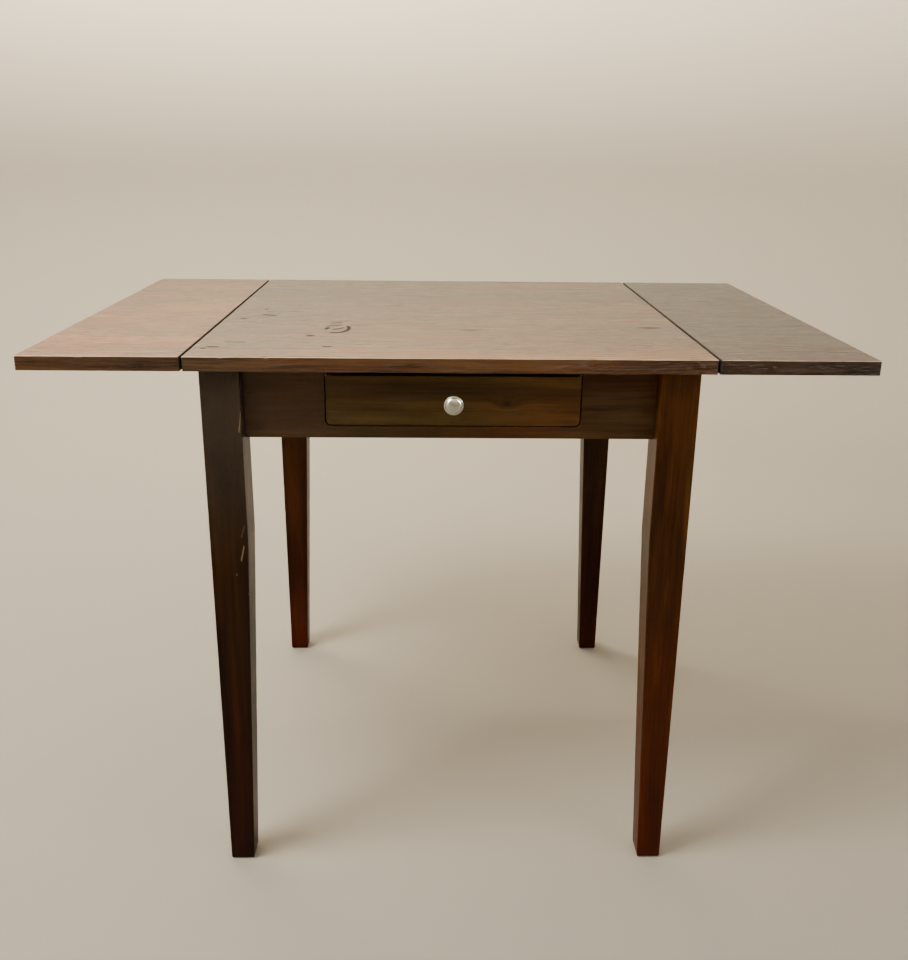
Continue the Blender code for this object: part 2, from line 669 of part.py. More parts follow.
def make_knob(parts):
    """The turned knob and the screw that holds it from inside the drawer. Both are returned."""
    rim_top = KNOB_LENGTH - KNOB_DOME
    rim_bottom = rim_top - KNOB_RIM
    dome = arc((0.0, 0.0), 1.0, 90, 0, steps=8)
    bore = KNOB_SCREW_RADIUS + GAP
    profile = [
        (0.0, KNOB_LENGTH),
        *[(KNOB_RADIUS * across, rim_top + KNOB_DOME * up) for across, up in dome[1:]],
        (KNOB_RADIUS, rim_bottom),
        (KNOB_NECK_RADIUS, KNOB_NECK_AT),
        (KNOB_FOOT_RADIUS, 0.0),
        (bore, 0.0),
        (bore, KNOB_SCREW_REACH + GAP),
        (0.0, KNOB_SCREW_REACH + GAP),
    ]
    knob = add_turned("knob", profile, (DRAWER_X, -APRON_FACE_Y - GAP, KNOB_Z), UPRIGHT, parts)
    shank = FRONT_THICKNESS + KNOB_SCREW_REACH
    screw_profile = [
        (0.0, shank),
        (KNOB_SCREW_RADIUS, shank),
        (KNOB_SCREW_RADIUS, 0.0),
        (KNOB_SCREW_HEAD, 0.0),
        (KNOB_SCREW_HEAD, -KNOB_SCREW_HEAD_HEIGHT),
        (0.0, -KNOB_SCREW_HEAD_HEIGHT),
    ]
    seat = (DRAWER_X, -APRON_FACE_Y + FRONT_THICKNESS + GAP, KNOB_Z)
    screw = add_turned("knob_screw", screw_profile, seat, UPRIGHT, parts, steps=24)
    paint([knob], "satin_nickel")
    paint([screw], "zinc_steel")
    return [knob, screw]


def main():
    clear_scene()
    parts = new_collection("drop_leaf_table")
    cutters = new_collection("cutters")
    make_top(parts, cutters)
    make_aprons(parts)
    for name, (side_x, side_y) in CORNERS.items():
        make_leg(f"leg_{name}", side_x, side_y, parts, cutters)
        make_corner_block(name, side_x, side_y, parts, cutters)
        make_corner_fasteners(name, side_x, side_y, parts, cutters)
    for side, sign in SIDES.items():
        leaf_pivot = add_pivot(f"{side}_leaf_pivot", (sign * SEAM_X, 0.0, HINGE_Z))
        hang_on(make_leaf(side, sign, parts), leaf_pivot)
        for place, y in (("front", -HINGE_Y), ("back", HINGE_Y)):
            hang_on(make_hinge(side, sign, place, y, parts, cutters), leaf_pivot)
        arm_pivot = add_pivot(f"{side}_arm_pivot", (sign * SUPPORT_PIVOT_X, SUPPORT_PIVOT_Y, SUPPORT_TOP))
        hang_on(make_support(side, sign, parts, cutters), arm_pivot)
    make_drawer_guides(parts)
    drawer = add_pivot("drawer_slide", (DRAWER_X, -APRON_FACE_Y, KNOB_Z))
    for piece in [make_drawer_front(parts, cutters), *make_drawer_box(parts, cutters), *make_knob(parts)]:
        hang_on(piece, drawer)


main()
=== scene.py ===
"""How the drop leaf table looks: finer wooden pieces, a turned knob and procedural materials.

Everything is in metres in the frame's own axes: X along the table, the drawer faces -Y, the floor is z = 0.
"""

import json
import math

import bmesh
import bpy
import numpy as np
from mathutils import Matrix, Vector, noise


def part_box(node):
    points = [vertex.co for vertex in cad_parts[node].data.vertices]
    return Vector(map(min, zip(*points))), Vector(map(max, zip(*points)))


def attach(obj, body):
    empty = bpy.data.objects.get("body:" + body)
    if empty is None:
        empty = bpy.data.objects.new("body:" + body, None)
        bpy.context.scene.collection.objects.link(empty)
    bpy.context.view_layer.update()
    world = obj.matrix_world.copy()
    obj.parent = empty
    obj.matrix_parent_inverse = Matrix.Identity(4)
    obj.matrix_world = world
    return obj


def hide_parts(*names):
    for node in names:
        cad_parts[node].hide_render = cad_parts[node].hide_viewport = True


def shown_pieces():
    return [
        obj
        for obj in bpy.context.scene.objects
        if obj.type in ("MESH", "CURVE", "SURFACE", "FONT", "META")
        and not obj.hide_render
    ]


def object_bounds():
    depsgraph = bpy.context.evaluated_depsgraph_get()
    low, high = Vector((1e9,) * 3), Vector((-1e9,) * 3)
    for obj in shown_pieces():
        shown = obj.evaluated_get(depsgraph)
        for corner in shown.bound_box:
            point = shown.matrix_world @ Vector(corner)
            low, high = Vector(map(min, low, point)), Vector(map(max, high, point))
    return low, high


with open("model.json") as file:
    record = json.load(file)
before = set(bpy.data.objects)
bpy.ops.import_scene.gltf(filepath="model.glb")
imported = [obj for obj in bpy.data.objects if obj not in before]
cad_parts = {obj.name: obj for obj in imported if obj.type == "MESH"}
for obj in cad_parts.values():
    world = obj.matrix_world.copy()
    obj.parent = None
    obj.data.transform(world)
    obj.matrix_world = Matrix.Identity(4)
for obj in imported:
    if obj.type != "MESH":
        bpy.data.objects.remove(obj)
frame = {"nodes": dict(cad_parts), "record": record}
cad_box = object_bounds()

FRONT_Y = cad_box[0].y
TOP_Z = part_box("top_panel")[1].z

# ---------------------------------------------------------------- node trees


class Tree:
    """A material's node tree, with short ways to add and link nodes."""

    def __init__(self, name):
        self.material = bpy.data.materials.new(name)
        self.material.use_nodes = True
        self.nodes = self.material.node_tree.nodes
        self.links = self.material.node_tree.links
        self.surface = self.nodes["Principled BSDF"]

    def put(self, socket, value):
        """Links a socket into this one, or sets its value."""
        if isinstance(value, bpy.types.NodeSocket):
            self.links.new(value, socket)
        else:
            socket.default_value = value

    def add(self, kind, inputs=(), **settings):
        made = self.nodes.new("ShaderNode" + kind)
        for key, value in settings.items():
            setattr(made, key, value)
        for key, value in dict(inputs).items():
            self.put(made.inputs[key], value)
        return made

    def math(self, operation, a, b=0.0, clamp=False):
        return self.add("Math", {0: a, 1: b}, operation=operation, use_clamp=clamp).outputs[0]

    def total(self, value, parts):
        """The value with each part added by its share."""
        for part, share in parts:
            value = self.math("ADD", value, self.math("MULTIPLY", part, share))
        return value

    def scaled(self, vector, scale):
        node = self.add("VectorMath", {0: vector, 1: scale}, operation="MULTIPLY")
        return node.outputs[0]

    def moved(self, vector, offset):
        node = self.add("VectorMath", {0: vector, 1: offset}, operation="ADD")
        return node.outputs[0]

    def place(self):
        """Where a point is, in metres in the frame's axes."""
        return self.add("TexCoord").outputs["Object"]

    def stored(self, name):
        """A value that the mesh keeps at each point."""
        return self.add("Attribute", attribute_name=name).outputs["Fac"]

    def noise(self, vector, scale, detail, roughness):
        inputs = {
            "Vector": self.scaled(vector, scale),
            "Scale": 1.0,
            "Detail": detail,
            "Roughness": roughness,
        }
        return self.add("TexNoise", inputs).outputs["Fac"]

    def between(self, value, low, high, to_low=0.0, to_high=1.0):
        """Maps low..high smoothly to to_low..to_high, and holds it outside."""
        inputs = {"Value": value, "From Min": low, "From Max": high, "To Min": to_low, "To Max": to_high}
        node = self.add("MapRange", inputs, interpolation_type="SMOOTHSTEP")
        return node.outputs["Result"]

    def mix(self, factor, a, b, blend="MIX"):
        node = self.add("Mix", data_type="RGBA", blend_type=blend)
        colours = [socket for socket in node.inputs if socket.type == "RGBA"]
        self.put(node.inputs["Factor"], factor)
        self.put(colours[0], a)
        self.put(colours[1], b)
        return next(socket for socket in node.outputs if socket.type == "RGBA")

    def ramp(self, factor, stops):
        node = self.add("ValToRGB", {"Fac": factor})
        ramp = node.color_ramp
        while len(ramp.elements) < len(stops):
            ramp.elements.new(0.5)
        for element, (position, colour) in zip(ramp.elements, stops):
            element.position = position
            element.color = rgba(colour)
        return node.outputs["Color"]

    def bump(self, height, distance, strength=1.0):
        inputs = {"Height": height, "Distance": distance, "Strength": strength}
        return self.add("Bump", inputs).outputs["Normal"]


def rgba(colour):
    return (*colour, 1.0)


# ---------------------------------------------------------------- materials

# Refractive indices, low where the old finish hardly shines, and the radii of the boards' edges.
DARK_IOR = 1.17
TOP_IOR = 1.38
TOP_ARRIS = 0.0013
LEG_ARRIS = 0.0016
APRON_ARRIS = 0.0010
DRAWER_ARRIS = 0.0016

# The turn that brings the axis that the fibres follow onto the noises' own X.
GRAIN_TURNS = {"X": (0.0, 0.0, 0.0), "Y": (0.0, 0.0, math.pi / 2), "Z": (0.0, math.pi / 2, 0.0)}
# How far a wood's noises are shifted for each step of its seed.
SEED_SHIFT = (1.37, 0.71, 2.13)
# How quickly the fibres sway, and how far to the side.
SWAY_SCALE = (2.4, 9.0, 9.0)
SWAY_REACH = (0.0, 0.022, 0.022)
# The noises of wood: how fine they are along the fibres and across, their detail and their roughness.
THREADS = ((9.0, 620.0, 620.0), 4.0, 0.62)
STREAKS = ((4.0, 150.0, 150.0), 5.0, 0.66)
BROAD_BANDS = ((1.5, 26.0, 26.0), 4.0, 0.55)
BLOTCHES = ((4.5, 16.0, 16.0), 4.0, 0.6)
CLOUDS = ((2.5, 5.0, 5.0), 2.0, 0.5)
PORES = ((60.0, 1500.0, 1500.0), 2.0, 0.5)
HUES = ((3.0, 11.0, 11.0), 3.0, 0.5)
RUB_AND_GLINT_PATCHES = ((26.0, 70.0, 70.0), 4.0, 0.65)
# The tones at which a wood has its dark, middle and light colour.
TONES = (0.56, 0.75, 0.94)
# How much a plank may be darker or lighter than its neighbours.
PLANK_CONTRAST = 0.07
# What the stain is multiplied by where its hue drifts to red and where it drifts to green.
RED_DRIFT = (1.12, 0.92, 0.80)
GREEN_DRIFT = (0.88, 1.06, 1.10)
# The painted grey sheen, where the lamps light the wood from the upper left, is full left of the first X and
# above the second height.
# It is gone right of the second X and below the first height.
GREY_SHEEN_ALONG = (-0.34, 0.02)
GREY_SHEEN_UP = (0.45, 0.68)
# The typical roughness less this is the roughness before the grain and the wear add theirs.
DULLING = 0.18
# How deep the grain's bump is.
GRAIN_RELIEF = 0.0003
# How far from a knot the fibres bend, and how far up.
KNOT_REACH = 0.016
KNOT_LIFT = 0.010


def around_knot(tree, place, knot):
    """The place with fibres that bend round a knot, and the distance to the knot's centre."""
    away = tree.moved(place, tuple(-c for c in knot))
    flat = tree.scaled(away, (0.55, 0.0, 1.0))
    reach = tree.add("VectorMath", {0: flat}, operation="LENGTH").outputs["Value"]
    swirl = tree.between(reach, 0.0, KNOT_REACH, 1.0, 0.0)
    lift = tree.add("CombineXYZ", {"Z": tree.math("MULTIPLY", swirl, KNOT_LIFT)}).outputs[0]
    return tree.moved(place, lift), reach


def growth_rings(tree, fibres):
    inputs = {
        "Vector": tree.scaled(fibres, (0.5, 9.0, 9.0)),
        "Scale": 3.0,
        "Distortion": 6.0,
        "Detail": 4.0,
        "Detail Scale": 1.6,
        "Detail Roughness": 0.6,
    }
    return tree.add("TexWave", inputs, bands_direction="Y").outputs["Fac"]


def plank_tone(tree, turned, width):
    """How light each plank is, less the average."""
    across = tree.add("SeparateXYZ", {"Vector": turned}).outputs["Y"]
    plank = tree.math("FLOOR", tree.math("DIVIDE", across, width))
    shade = tree.add("TexWhiteNoise", {"W": plank}, noise_dimensions="1D").outputs["Value"]
    return tree.math("SUBTRACT", shade, 0.5)


def tinted(tree, colour, height, tints):
    for start, end, tint in tints:
        if start < end:
            share = tree.between(height, start, end)
        else:
            share = tree.between(height, end, start, 1.0, 0.0)
        colour = tree.mix(share, colour, rgba(tint), "MULTIPLY")
    return colour


def wood(name, grain, seed, palette, roughness, ior=1.45, planks=0.0, tints=(), knot=None, grey_sheen=0.0,
         grip=1.0, front_light_tint=None, rub_and_glint=None, patches=0.8):
    """Stained wood. palette is (dark, middle, light), and grain is the axis that its fibres follow.

    roughness is its typical value, and planks is how wide the planks are that it is glued from, or 0.
    A tint is (from height, to height, colour): the stain is multiplied by that colour more and more on
    the way. knot is its centre, and grey_sheen is how much grey sheen is painted on the left of it. grip is
    how strong the open grain is, and patches is how far the hue wanders. front_light_tint is what the stain
    is multiplied by where light is painted on at the top's front, and rub_and_glint is its colour where it
    is worn, which on the top is also a painted highlight.
    """
    tree = Tree(name)
    dark, _, light = palette
    place = tree.place()
    source, reach = around_knot(tree, place, knot) if knot else (place, None)
    turned = tree.add("Mapping", {"Vector": source, "Rotation": GRAIN_TURNS[grain]}).outputs["Vector"]
    start = tree.moved(turned, tuple(seed * shift for shift in SEED_SHIFT))
    sway = tree.add("TexNoise", {"Vector": tree.scaled(start, SWAY_SCALE), "Scale": 1.0, "Detail": 2.0})
    fibres = tree.moved(start, tree.scaled(sway.outputs["Color"], SWAY_REACH))
    threads = tree.noise(fibres, *THREADS)
    streaks = tree.noise(fibres, *STREAKS)
    broad = tree.noise(fibres, *BROAD_BANDS)
    rings = growth_rings(tree, fibres)
    blotch = tree.noise(start, *BLOTCHES)
    cloud = tree.noise(start, *CLOUDS)
    pores = tree.between(tree.noise(fibres, *PORES), 0.60, 0.70)

    parts = ((threads, 0.26), (streaks, 0.34), (broad, 0.30), (rings, 0.14), (blotch, 0.30))
    tone = tree.total(tree.math("MULTIPLY", cloud, 0.16), parts)
    if planks:
        tone = tree.total(tone, [(plank_tone(tree, turned, planks), PLANK_CONTRAST)])
    colour = tree.ramp(tone, list(zip(TONES, palette)))
    hue = tree.between(tree.noise(start, *HUES), 0.38, 0.62)
    drift = tree.mix(hue, rgba(RED_DRIFT), rgba(GREEN_DRIFT))
    colour = tree.mix(patches, colour, drift, "MULTIPLY")
    split = tree.add("SeparateXYZ", {"Vector": place})
    colour = tinted(tree, colour, split.outputs["Z"], tints)
    # Light painted on: the top's flat faces are multiplied lighter and pinker towards the front.
    if front_light_tint:
        colour = tree.mix(tree.stored("painted_front_light_mask"), colour, rgba(front_light_tint), "MULTIPLY")
    # A grey sheen painted on the left and upper parts, where the lamps light them from the upper left.
    leftward = tree.between(split.outputs["X"], *GREY_SHEEN_ALONG, 1.0, 0.0)
    grey_sheen_mask = tree.math("MULTIPLY", leftward, tree.between(split.outputs["Z"], *GREY_SHEEN_UP))
    grey_sheen_mask = tree.math("MULTIPLY", grey_sheen_mask, tree.math("ADD", 0.35, blotch))
    colour = tree.mix(tree.math("MULTIPLY", grey_sheen_mask, grey_sheen, clamp=True), colour, rgba(PAINTED_GREY_SHEEN))
    if knot:
        uneven = tree.math("ADD", reach, tree.math("MULTIPLY", streaks, 0.002))
        heart = tree.between(uneven, 0.001, 0.0065, 0.75, 0.0)
        colour = tree.mix(heart, colour, rgba([c * 0.4 for c in dark]))
    colour = tree.mix(tree.math("MULTIPLY", pores, 0.5), colour, rgba([c * 0.45 for c in dark]))

    patchy = tree.math("ADD", tree.noise(start, *RUB_AND_GLINT_PATCHES), 0.50)
    rubbed_and_glint = tree.between(tree.math("MULTIPLY", tree.stored("wear_and_glint_mask"), patchy), 0.45, 0.95)
    marks_and_seam_shade = tree.stored("marks_and_seam_shade")
    bare = tree.stored("bare")
    # Rubbed edges are lighter. On the top, the light front edge is also a painted highlight standing in for
    # a glint.
    colour = tree.mix(tree.math("MULTIPLY", rubbed_and_glint, 0.9), colour, rgba(rub_and_glint or [c * 2.0 for c in light]))
    # Dents are darker, and the faces in the seams are painted near black as shade.
    colour = tree.mix(tree.math("MULTIPLY", marks_and_seam_shade, 0.9), colour, rgba([c * 0.12 for c in dark]))
    colour = tree.mix(bare, colour, rgba(BARE_WOOD))
    tree.put(tree.surface.inputs["Base Color"], colour)

    open_grain = tree.between(threads, 0.50, 0.66)
    parts = ((streaks, 0.10), (open_grain, 0.13 * grip), (rubbed_and_glint, 0.12), (marks_and_seam_shade, 0.70), (bare, 0.30))
    dull = tree.total(tree.math("MULTIPLY", blotch, 0.16), parts)
    tree.put(tree.surface.inputs["Roughness"], tree.math("ADD", roughness - DULLING, dull, clamp=True))
    height = tree.math("ADD", tree.math("MULTIPLY", streaks, 0.5), tree.math("MULTIPLY", threads, 0.35))
    height = tree.math("SUBTRACT", height, tree.math("MULTIPLY", pores, 0.6))
    tree.put(tree.surface.inputs["Normal"], tree.bump(height, GRAIN_RELIEF * grip, 0.6))
    tree.surface.inputs["IOR"].default_value = ior
    return tree.material


def brushed(name, colour, roughness, line_scale=(60.0, 60.0, 60.0), tarnish=0.25):
    """Metal with fine scratches and a little tarnish."""
    tree = Tree(name)
    place = tree.place()
    spots = tree.noise(place, (90.0, 90.0, 90.0), 4.0, 0.6)
    lines = tree.noise(place, line_scale, 3.0, 0.6)
    dull = [c * (1.0 - tarnish) for c in colour]
    tree.put(tree.surface.inputs["Base Color"], tree.mix(spots, rgba(dull), rgba(colour)))
    scratched = tree.math("ADD", roughness - 0.08, tree.math("MULTIPLY", lines, 0.20), clamp=True)
    tree.put(tree.surface.inputs["Roughness"], scratched)
    tree.put(tree.surface.inputs["Normal"], tree.bump(lines, 0.0001, 0.4))
    tree.surface.inputs["Metallic"].default_value = 1.0
    return tree.material


def satin_nickel(centre):
    """Nickel spun on a lathe: its scratches circle the knob's axis, which faces -Y."""
    tree = Tree("satin_nickel_look")
    place = tree.place()
    from_axis = tree.moved(place, tuple(-c for c in centre))
    split = tree.add("SeparateXYZ", {"Vector": from_axis})
    across = tree.math("POWER", split.outputs["X"], 2.0)
    up = tree.math("POWER", split.outputs["Z"], 2.0)
    radius = tree.math("SQRT", tree.math("ADD", across, up))
    turning = tree.add("CombineXYZ", {"X": radius, "Y": split.outputs["Y"]}).outputs[0]
    lines = tree.noise(turning, (5200.0, 2600.0, 1.0), 2.0, 0.5)
    spots = tree.noise(place, (260.0, 260.0, 260.0), 3.0, 0.55)
    tree.put(tree.surface.inputs["Base Color"], tree.mix(spots, rgba(DULL_NICKEL), rgba(BRIGHT_NICKEL)))
    tree.put(tree.surface.inputs["Roughness"], tree.math("ADD", 0.17, tree.math("MULTIPLY", lines, 0.10)))
    tree.put(tree.surface.inputs["Normal"], tree.bump(lines, 0.00003, 0.5))
    tree.surface.inputs["Metallic"].default_value = 1.0
    tree.surface.inputs["Anisotropic"].default_value = 0.8
    tangent = tree.add("Tangent", direction_type="RADIAL", axis="Y").outputs["Tangent"]
    tree.put(tree.surface.inputs["Tangent"], tangent)
    return tree.material


# The palettes of the woods: dark, middle and light.
TOP = ((0.012, 0.0040, 0.0008), (0.050, 0.0180, 0.0034), (0.130, 0.0560, 0.0150))
# The left leaf's palette is painted lighter than the top's and the right leaf's darker: painted light and
# shade, since the lamps light the left side most.
LIT_LEFT_LEAF = ((0.018, 0.0060, 0.0012), (0.088, 0.0310, 0.0054), (0.220, 0.0900, 0.0220))
SHADED_RIGHT_LEAF = ((0.005, 0.0019, 0.0004), (0.018, 0.0066, 0.0014), (0.046, 0.0200, 0.0055))
BASE = ((0.021, 0.0084, 0.0022), (0.057, 0.0262, 0.0080), (0.098, 0.0490, 0.0180))
LEG = ((0.012, 0.0037, 0.0005), (0.036, 0.0120, 0.0018), (0.066, 0.0260, 0.0055))
DRAWER = ((0.023, 0.0102, 0.0022), (0.068, 0.0345, 0.0086), (0.112, 0.0600, 0.0180))
PLAIN = ((0.250, 0.150, 0.075), (0.400, 0.262, 0.145), (0.520, 0.365, 0.220))
PLYWOOD = ((0.380, 0.255, 0.140), (0.500, 0.355, 0.210), (0.600, 0.450, 0.285))
# How light each leg is painted against the palette: painted light and shade for how the lamps fall on each
# leg.
PAINTED_LEG_LIGHT = {"back_left": 0.80, "back_right": 0.62, "front_left": 0.58, "front_right": 1.38}
# Tints down to the foot of every leg and up to the head of the front right one. The head's lighter olive
# tint is a painted sheen.
RED_FOOT = (0.520, 0.0, (1.20, 0.50, 0.25))
PAINTED_SHEEN_HEAD = (0.450, 0.720, (1.30, 1.50, 1.45))
# What each board's stain is multiplied by at the top's front edge, where light is painted on most, and the
# power by which the painted light falls off towards the back. This painted light makes the top lighter and
# pinker at the front, most on the left leaf, where the lamps light it most.
PAINTED_FRONT_LIGHT_TINTS = {"top_panel": (3.0, 3.1, 4.0), "left_leaf": (3.3, 3.0, 3.6), "right_leaf": (2.2, 1.0, 1.0)}
PAINTED_LIGHT_FALL = 1.7
# The colour of the top's rubbed edges, which along the front edge is also a painted highlight, of the
# painted grey sheen, of bare wood and of the knob's nickel.
TOP_WEAR_AND_GLINT = (0.80, 0.63, 0.45)
PAINTED_GREY_SHEEN = (0.052, 0.042, 0.031)
BARE_WOOD = (0.52, 0.38, 0.22)
DULL_NICKEL = (0.41, 0.42, 0.35)
BRIGHT_NICKEL = (0.56, 0.57, 0.49)


# ---------------------------------------------------------------- fine wooden boards

# Where a board is cut near an edge, and how far a seam's painted shade reaches round it, in radii of the
# edge.
EDGE_CUTS = (0.0, 0.25, 0.6, 1.0, 1.8, 3.5)
SEAM_SHADE_REACH = 0.61
# How fine the noises are that vary an edge's radius and chip it, and the level above which it is chipped.
EDGE_NOISE = 45.0
CHIP_NOISE = 130.0
CHIP_LEVEL = 0.35
UNMARKED = (None, None, None)


def stations(low, high, radius, step, dense=None):
    """Where a board is cut across one axis: close together round its edges and in the dense stretch."""
    near = [cut * radius for cut in EDGE_CUTS]
    inner_low, inner_high = low + near[-1], high - near[-1]
    marks = [low + d for d in near] + [high - d for d in near]
    count = max(1, round((inner_high - inner_low) / step))
    marks += [inner_low + (inner_high - inner_low) * i / count for i in range(1, count)]
    if dense:
        start, end, fine = dense
        marks = [m for m in marks if not start < m < end]
        count = round((end - start) / fine)
        marks += [start + (end - start) * i / count for i in range(count + 1)]
    kept = []
    for mark in sorted(marks):
        if not kept or mark - kept[-1] > 0.05 * radius:
            kept.append(mark)
    kept[-1] = high
    return np.array(kept)


def box_surface(cuts):
    """The points and quads of a box cut along the stations of its three axes."""
    points, quads, count = [], [], 0
    for axis in range(3):
        u, v = (axis + 1) % 3, (axis + 2) % 3
        grid_u, grid_v = np.meshgrid(cuts[u], cuts[v], indexing="ij")
        for end in (0, -1):
            face = np.empty((*grid_u.shape, 3))
            face[..., u] = grid_u
            face[..., v] = grid_v
            face[..., axis] = cuts[axis][end]
            number = np.arange(grid_u.size).reshape(grid_u.shape) + count
            corners = [number[:-1, :-1], number[1:, :-1], number[1:, 1:], number[:-1, 1:]]
            if end == 0:
                corners.reverse()
            quads.append(np.stack(corners, axis=-1).reshape(-1, 4))
            points.append(face.reshape(-1, 3))
            count += grid_u.size
    points = np.concatenate(points)
    quads = np.concatenate(quads)
    _, first, index = np.unique(points.round(8), axis=0, return_index=True, return_inverse=True)
    return points[first], index.reshape(-1)[quads]


def noise_at(points, scale, seed):
    """Smooth noise from -1 to 1 at each point."""
    shift = Vector((seed * 3.1, seed * 5.7, seed * 1.9))
    return np.array([noise.noise(Vector(p) * scale + shift) for p in points])


def store(mesh, name, values):
    layer = mesh.attributes.new(name, "FLOAT", "POINT")
    layer.data.foreach_set("value", np.asarray(values, np.float32))


def mesh_piece(name, points, faces, material):
    mesh = bpy.data.meshes.new(name)
    mesh.from_pydata([tuple(p) for p in points], [], [tuple(int(i) for i in f) for f in faces])
    mesh.polygons.foreach_set("use_smooth", [True] * len(mesh.polygons))
    mesh.materials.append(material)
    piece = bpy.data.objects.new(name, mesh)
    bpy.context.scene.collection.objects.link(piece)
    return piece


def stand_for(piece, node):
    """The piece takes a CAD node's place on its body."""
    body = next(b for b, nodes in frame["record"]["behaviour"]["bodies"].items() if node in nodes)
    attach(piece, body)
    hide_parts(node)


def board(node, material, radius, seed, step=0.02, chips=0.3, dense=UNMARKED, shape=None, marks=None,
          painted_seam_shade=()):
    """A board in a CAD node's place, with softly rounded edges, small chips along them and any marks.

    step is how far apart it is cut, and dense is a finer stretch along each axis: (from, to, step) or None.
    marks is given the points and the ways out of the board, and returns how deep, how dark and how bare each
    point is. shape moves the points at the end.
    A seam is (side, depth): the side along X, -1 or 1, that faces another board and has shade painted on it,
    near black, from that many edge radii below the top, or all over where the depth is below nought.
    """
    low, high = (np.array(corner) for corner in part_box(node))
    cuts = [stations(low[i], high[i], radius, step, dense[i]) for i in range(3)]
    points, quads = box_surface(cuts)
    to_sides = np.minimum(points - low, high - points)
    to_edge = np.sort(to_sides, axis=1)[:, 1]
    rough = noise_at(points, EDGE_NOISE, seed)
    radii = (radius * (0.85 + 0.30 * rough))[:, None]
    inner = np.clip(points, low + radii, high - radii)
    out = points - inner
    out /= np.maximum(np.linalg.norm(out, axis=1, keepdims=True), 1e-12)
    rounded = inner + out * radii
    near_edge = np.clip(1.0 - to_edge / (2.2 * radius), 0.0, 1.0)
    chipped = np.clip(noise_at(points, CHIP_NOISE, seed + 7) - CHIP_LEVEL, 0.0, 1.0) * near_edge
    rounded -= out * (chipped * chips * radius)[:, None]
    marks_and_seam_shade, bare = np.zeros(len(points)), np.zeros(len(points))
    if marks:
        depth, marks_and_seam_shade, bare = marks(rounded, out)
        rounded -= out * depth[:, None]
    # Painted shade on the faces in the seams between the boards.
    for side, hidden in painted_seam_shade:
        from_side = high[0] - points[:, 0] if side > 0 else points[:, 0] - low[0]
        below = points[:, 2] < high[2] - hidden * radius
        marks_and_seam_shade = np.maximum(marks_and_seam_shade, (from_side <= SEAM_SHADE_REACH * radius) & below)
    if shape:
        rounded = shape(rounded)
    piece = mesh_piece(node + "_fine", rounded, quads, material)
    # How much light is painted on each point of the top's flat faces, most at the front edge.
    flat_top = rounded[:, 2] > high[2] - 0.1 * radius
    forward = (high[1] - points[:, 1]) / (high[1] - low[1])
    store(piece.data, "painted_front_light_mask", flat_top * forward**PAINTED_LIGHT_FALL)
    # Worn edges. Along the top's front edge they also carry a painted highlight.
    upper = np.where(points[:, 2] > high[2] - 1.5 * radius, 1.0, 0.6)
    store(piece.data, "wear_and_glint_mask", upper * np.clip(1.0 - to_edge / (1.3 * radius), 0.0, 1.0))
    store(piece.data, "marks_and_seam_shade", np.clip(marks_and_seam_shade, 0.0, 1.0))
    store(piece.data, "bare", np.clip(bare, 0.0, 1.0))
    stand_for(piece, node)


def to_segment(points, start, end):
    """Distance from each point to a short straight mark, both in the same two axes."""
    start, end = np.array(start), np.array(end)
    along = end - start
    flat = points - start
    share = np.clip(flat @ along / max(along @ along, 1e-12), 0.0, 1.0)
    return np.linalg.norm(flat - share[:, None] * along, axis=1)


def press(points, lines):
    """How deep and how marked each point is. A line is (start, end, half width, depth, how marked)."""
    depth, marked = np.zeros(len(points)), np.zeros(len(points))
    for start, end, half_width, deep, strong in lines:
        near = np.exp(-((to_segment(points, start, end) / half_width) ** 2))
        depth = np.maximum(depth, deep * near)
        marked = np.maximum(marked, strong * near)
    return depth, marked


# Dents and scratches on the top in X and Y: start, end, half width, depth and how dark.
TOP_DENTS = [
    ((-0.1935, -0.195), (-0.189, -0.195), 0.0028, 0.0019, 1.0),
    ((-0.165, -0.266), (-0.157, -0.266), 0.0020, 0.0014, 1.0),
    ((-0.281, -0.039), (-0.264, -0.047), 0.0022, 0.0016, 1.0),
    ((-0.309, -0.072), (-0.304, -0.071), 0.0024, 0.0014, 1.0),
    ((-0.287, 0.008), (-0.286, 0.011), 0.0022, 0.0011, 0.8),
    ((-0.313, -0.271), (-0.302, -0.271), 0.0020, 0.0014, 1.0),
    ((-0.320, -0.280), (-0.316, -0.280), 0.0020, 0.0011, 0.9),
    ((-0.281, -0.012), (-0.238, -0.010), 0.0020, 0.0003, 0.2),
    ((-0.175, -0.148), (-0.174, -0.137), 0.0026, 0.0014, 0.9),
    ((-0.176, -0.126), (-0.157, -0.117), 0.0022, 0.0010, 0.6),
    ((-0.172, -0.105), (-0.160, -0.097), 0.0022, 0.0008, 0.5),
    ((-0.164, -0.150), (-0.152, -0.138), 0.0024, 0.0011, 0.6),
    ((-0.170, -0.090), (-0.150, -0.086), 0.0050, 0.0004, 0.15),
    ((-0.140, -0.118), (-0.115, -0.116), 0.0050, 0.0004, 0.12),
    ((-0.292, -0.238), (-0.278, -0.240), 0.0055, 0.0005, 0.18),
    ((0.024, -0.148), (0.032, -0.149), 0.0030, 0.0011, 0.5),
    ((0.283, -0.121), (0.293, -0.122), 0.0022, 0.0011, 0.6),
    ((0.277, -0.128), (0.290, -0.129), 0.0019, 0.0007, 0.4),
]
# The ring-shaped dent: its centre, radii and the arc that it covers, in degrees.
RING_AT = (-0.160, -0.143)
RING_RADII = (0.0165, 0.0310)
RING_FROM, RING_TO = -108, 34
RING_STEPS = 10
# The ring's half width, depth and how dark it is.
RING_MARK = (0.0022, 0.0015, 1.0)
# Chips out of the front upper edge of the top and the left leaf: where along X, half as long, and how deep.
TOP_CHIPS = [(-0.286, 0.0055, 0.0005), (-0.230, 0.0024, 0.0010), (-0.066, 0.0020, 0.0004)]
LEAF_CHIPS = [(-0.463, 0.0022, 0.0007), (-0.458, 0.0030, 0.0003)]
